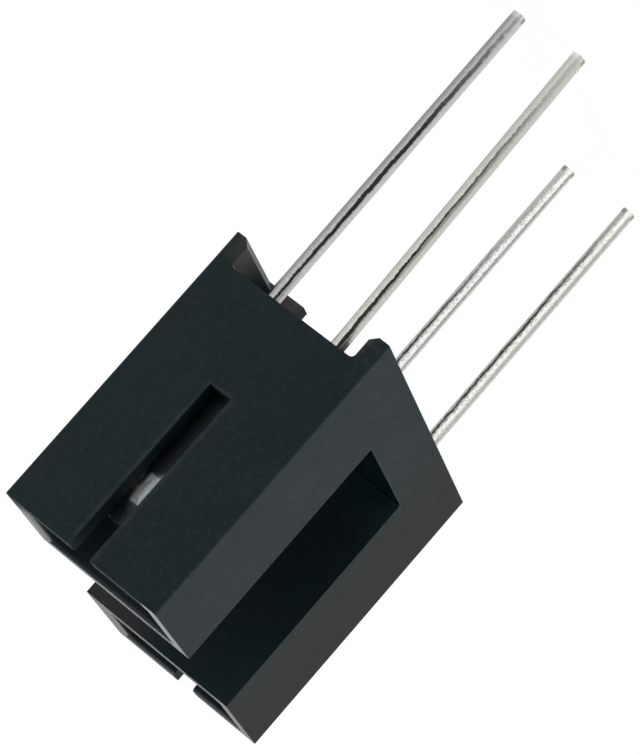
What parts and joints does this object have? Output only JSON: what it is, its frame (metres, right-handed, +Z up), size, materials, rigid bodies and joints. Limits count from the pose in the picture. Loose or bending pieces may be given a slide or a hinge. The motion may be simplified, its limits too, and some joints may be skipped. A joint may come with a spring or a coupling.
{
  "type": "slotted optical switch",
  "caption": "Black forked housing with an infrared emitter and a detector facing each other across an open gap, on straight through-hole leads.",
  "frame": {"origin": "centre of the footprint on the seating plane of the rails, where the board's top surface lies", "axes": "+Z up from the board to the tower tips, X across the gap with the emitter at -X, Y along the gap"},
  "size_m": [0.0136, 0.006, 0.0209],
  "materials": {
    "housing_black": "satin moulded black plastic",
    "clear_resin": "clear cast epoxy",
    "dark_resin": "dark infrared-passing epoxy",
    "tin_plate": "tin-plated metal",
    "chip": "polished semiconductor",
    "silver_film": "cured silver-filled adhesive",
    "bond_gold": "drawn gold wire"
  },
  "bodies": {
    "root": {"housing": "housing_black", "emitter_package": "clear_resin", "emitter_cathode_lead": "tin_plate", "emitter_anode_lead": "tin_plate", "emitter_die": "chip", "emitter_die_bond": "silver_film", "emitter_bond_wire": "bond_gold", "detector_package": "dark_resin", "detector_collector_lead": "tin_plate", "detector_emitter_lead": "tin_plate", "detector_die": "chip", "detector_die_bond": "silver_film", "detector_bond_wire": "bond_gold"}
  },
  "joints": []
}
